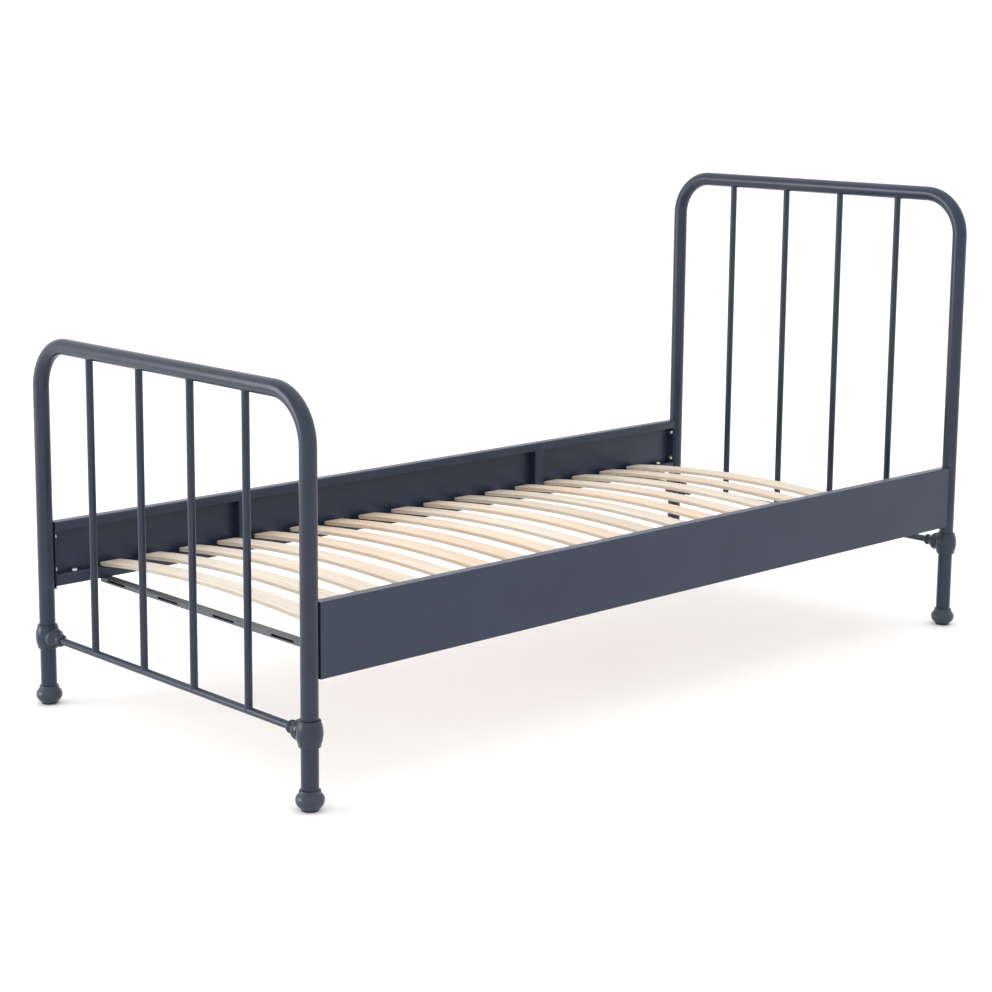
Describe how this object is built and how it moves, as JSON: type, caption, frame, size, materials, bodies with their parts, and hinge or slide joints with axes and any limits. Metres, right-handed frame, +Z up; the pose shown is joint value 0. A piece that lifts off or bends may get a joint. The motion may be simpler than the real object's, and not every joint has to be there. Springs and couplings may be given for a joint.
{
  "type": "bed frame",
  "caption": "Single metal bed frame: round-cornered tube headboard and footboard with upright rods, folded sheet side rails and arched wooden slats.",
  "frame": {"origin": "on the floor, at the middle of the bed's width and length", "axes": "+X across the bed to its right-hand side, +Y along the bed from the foot end to the head end, +Z up"},
  "size_m": [0.976, 2.1018, 1.102],
  "materials": {
    "frame_paint": "satin dark blue-grey coat on round steel tube",
    "cast_paint": "satin dark blue-grey coat on moulded or cast collars",
    "rail_paint": "satin dark blue-grey coat on folded steel sheet",
    "bar_paint": "lighter grey satin coat on rectangular steel tube",
    "foot_plastic": "dark blue-grey moulded plastic",
    "zinc": "bright zinc plating",
    "slat_wood": "pale sanded hardwood laminate"
  },
  "bodies": {
    "root": {"footboard_arch_tube": "frame_paint", "footboard_upright_rod_1": "frame_paint", "footboard_upright_rod_2": "frame_paint", "footboard_upright_rod_3": "frame_paint", "footboard_upright_rod_4": "frame_paint", "footboard_lower_rail": "frame_paint", "footboard_cross_bar": "bar_paint", "footboard_collar_left": "cast_paint", "footboard_collar_right": "cast_paint", "footboard_foot_left": "foot_plastic", "footboard_foot_right": "foot_plastic", "footboard_rail_bolt_left_lower": "zinc", "footboard_rail_bolt_left_upper": "zinc", "footboard_rail_bolt_right_lower": "zinc", "footboard_rail_bolt_right_upper": "zinc", "footboard_ledge_bolt_left": "zinc", "footboard_ledge_bolt_right": "zinc", "headboard_arch_tube": "frame_paint", "headboard_upright_rod_1": "frame_paint", "headboard_upright_rod_2": "frame_paint", "headboard_upright_rod_3": "frame_paint", "headboard_upright_rod_4": "frame_paint", "headboard_lower_rail": "frame_paint", "headboard_cross_bar": "bar_paint", "headboard_collar_left": "cast_paint", "headboard_collar_right": "cast_paint", "headboard_foot_left": "foot_plastic", "headboard_foot_right": "foot_plastic", "headboard_rail_bolt_left_lower": "zinc", "headboard_rail_bolt_left_upper": "zinc", "headboard_rail_bolt_right_lower": "zinc", "headboard_rail_bolt_right_upper": "zinc", "headboard_ledge_bolt_left": "zinc", "headboard_ledge_bolt_right": "zinc", "side_rail_left": "rail_paint", "side_rail_right": "rail_paint", "slat_ledge_left": "rail_paint", "slat_ledge_right": "rail_paint", "rail_stiffener_left_foot": "rail_paint", "rail_stiffener_left_head": "rail_paint", "rail_stiffener_right_foot": "rail_paint", "rail_stiffener_right_head": "rail_paint", "slat_01": "slat_wood", "slat_02": "slat_wood", "slat_03": "slat_wood", "slat_04": "slat_wood", "slat_05": "slat_wood", "slat_06": "slat_wood", "slat_07": "slat_wood", "slat_08": "slat_wood", "slat_09": "slat_wood", "slat_10": "slat_wood", "slat_11": "slat_wood", "slat_12": "slat_wood", "slat_13": "slat_wood", "slat_14": "slat_wood", "slat_15": "slat_wood", "slat_16": "slat_wood", "slat_17": "slat_wood"}
  },
  "joints": []
}
